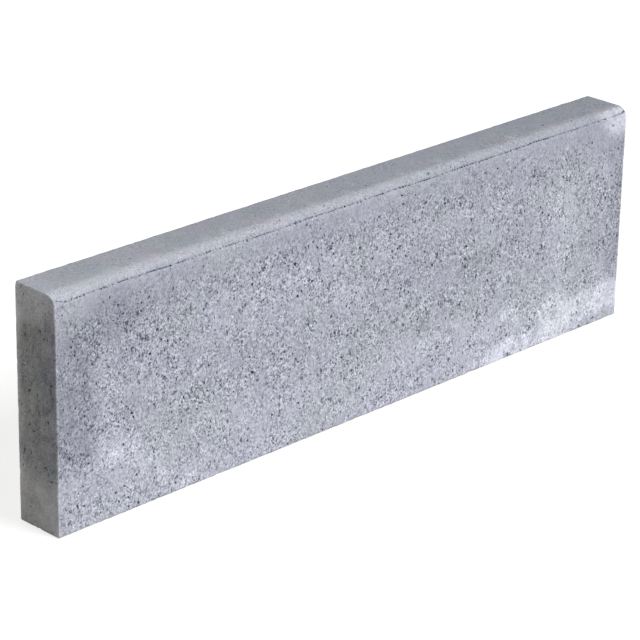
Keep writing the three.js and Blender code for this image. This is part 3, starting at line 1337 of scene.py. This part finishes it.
tint = ramp(speckle(13, 2, place), -0.45, 0.45)
closed_drift = ramp(speckle(21, 2, place), -0.40, 0.40, -0.5, 0.5)
closed_tint = total(
    0.5,
    scaled(closed_drift, total(1.0, scaled(end_here, -0.75))),
    scaled(end_here, 0.12),
)
pale_open = blend(tint, PALE_GREENISH, PALE_VIOLET)
pale_closed = blend(closed_tint, CLOSED_GREENISH, CLOSED_VIOLET)
pale = blend(scaled(stored("closed"), 0.6), pale_open, pale_closed)
colour = blend(lightness, DARK, pale, clamp_factor=False)
print("the palest colours:", PALE_GREENISH[:3], "and", PALE_VIOLET[:3])

# %% [markdown]
# ## Relief too fine to model
#
# The same speckle and pinholes also lift and lower the surface, in metres: sand grains stand out by
# about a tenth of a millimetre, pinholes go in by about half of one. Modelled, they would take
# millions of points. The bump node only tilts the surface for the light, it moves nothing.

# %% Fine relief
relief = total(
    scaled(sand, 0.00018, speck_strength),
    scaled(stones, 0.00022, speck_strength),
    scaled(fines, 0.00004),
    scaled(fine_holes, -0.0005),
    scaled(wide_holes, -0.0009),
)
bump = put("Bump", {"Height": relief, "Distance": 1.0, "Strength": 1.0})
surface = put("BsdfPrincipled", {
    "Base Color": colour,
    "Roughness": total(0.86, scaled(open_here, 0.08), scaled(patches, 0.03)),
    "IOR": 1.45,
    "Specular IOR Level": 0.35,
    "Normal": bump.outputs["Normal"],
})
put("OutputMaterial", {"Surface": surface.outputs["BSDF"]})
kerb.data.materials.append(concrete)
print("nodes in the material:", len(tree.nodes))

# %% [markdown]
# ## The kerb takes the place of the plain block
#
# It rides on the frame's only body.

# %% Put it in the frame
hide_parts("kerb_stone")
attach(kerb, "root")

# %% [markdown]
# ## Floor
#
# The floor is a wide pale sheet. To the camera it glows a little on top of the light that falls on
# it, so that it goes to white where nothing shades it, and the kerb's shadow stays soft and pale.
# To every other ray it is an ordinary pale matt floor, which throws some light back up at the kerb.

# %% Lay the floor
def seen_directly():
    """1 for rays that are seen, straight or by way of metal or glass, and 0 for the rest."""
    rays = put("LightPath").outputs
    bent = calc("MAXIMUM", rays["Is Glossy Ray"], rays["Is Transmission Ray"])
    return calc("MAXIMUM", rays["Is Camera Ray"], bent)


HALF_FLOOR = 30
corners = [(x * HALF_FLOOR, y * HALF_FLOOR, 0) for x, y in ((-1, -1), (1, -1), (1, 1), (-1, 1))]
floor_mesh = bpy.data.meshes.new("floor")
floor_mesh.from_pydata(corners, [], [(0, 1, 2, 3)])
floor = add_object("floor", floor_mesh)
floor.location.z = -0.2 * MM

paper = bpy.data.materials.new("paper")
tree = empty_tree(paper)
matt = put("BsdfDiffuse", {"Color": (0.58, 0.56, 0.50, 1)})
matt_seen = put("BsdfDiffuse", {"Color": (0.42, 0.42, 0.42, 1)})
glow = put("Emission", {"Color": (1, 1, 1, 1), "Strength": 0.78})
bright = put("AddShader", {0: matt_seen.outputs[0], 1: glow.outputs[0]})
sheet_look = put("MixShader", {0: seen_directly(), 1: matt.outputs[0], 2: bright.outputs[0]})
put("OutputMaterial", {"Surface": sheet_look.outputs[0]})
floor.data.materials.append(paper)
print("floor:", 2 * HALF_FLOOR, "m square")

# %% [markdown]
# ## Light
#
# One broad, soft light stands in front and above, a little to the right, so the front face is the
# brightest, the top is a shade darker and the left end is in half shadow. A much weaker one fills
# from behind. Both are suns, because a lamp that stands near would light one end of the kerb more
# than the other. The sky is white where it is seen, and dimmer and slightly warm as a light.

# %% Light the kerb
KEY, FILL = 0.82, 0.28


def add_sun(name, towards, strength, size, colour):
    """A soft sun that shines from a direction, given as seen from the kerb."""
    data = bpy.data.lights.new(name, "SUN")
    data.energy = strength * math.pi
    data.angle = math.radians(size)
    data.color = colour
    add_object(name, data).rotation_euler = Vector(towards).to_track_quat("Z", "Y").to_euler()


add_sun("key", (0.25, -0.74, 0.64), KEY, 28, (0.985, 0.99, 1.0))
add_sun("back fill", (0.55, 0.80, 0.12), FILL, 60, (1.0, 0.98, 0.95))

world = bpy.data.worlds.new("studio")
bpy.context.scene.world = world
tree = empty_tree(world)
dim = put("Background", {"Color": (1.0, 0.97, 0.86, 1), "Strength": 0.16})
white = put("Background", {"Color": (1, 1, 1, 1), "Strength": 1.0})
sky = put("MixShader", {0: seen_directly(), 1: dim.outputs[0], 2: white.outputs[0]})
put("OutputWorld", {"Surface": sky.outputs[0]})

# %% [markdown]
# ## Finish
#
# The colours are shown as they are, without a film look.

# %% Finish
bpy.context.scene.view_settings.view_transform = "Standard"
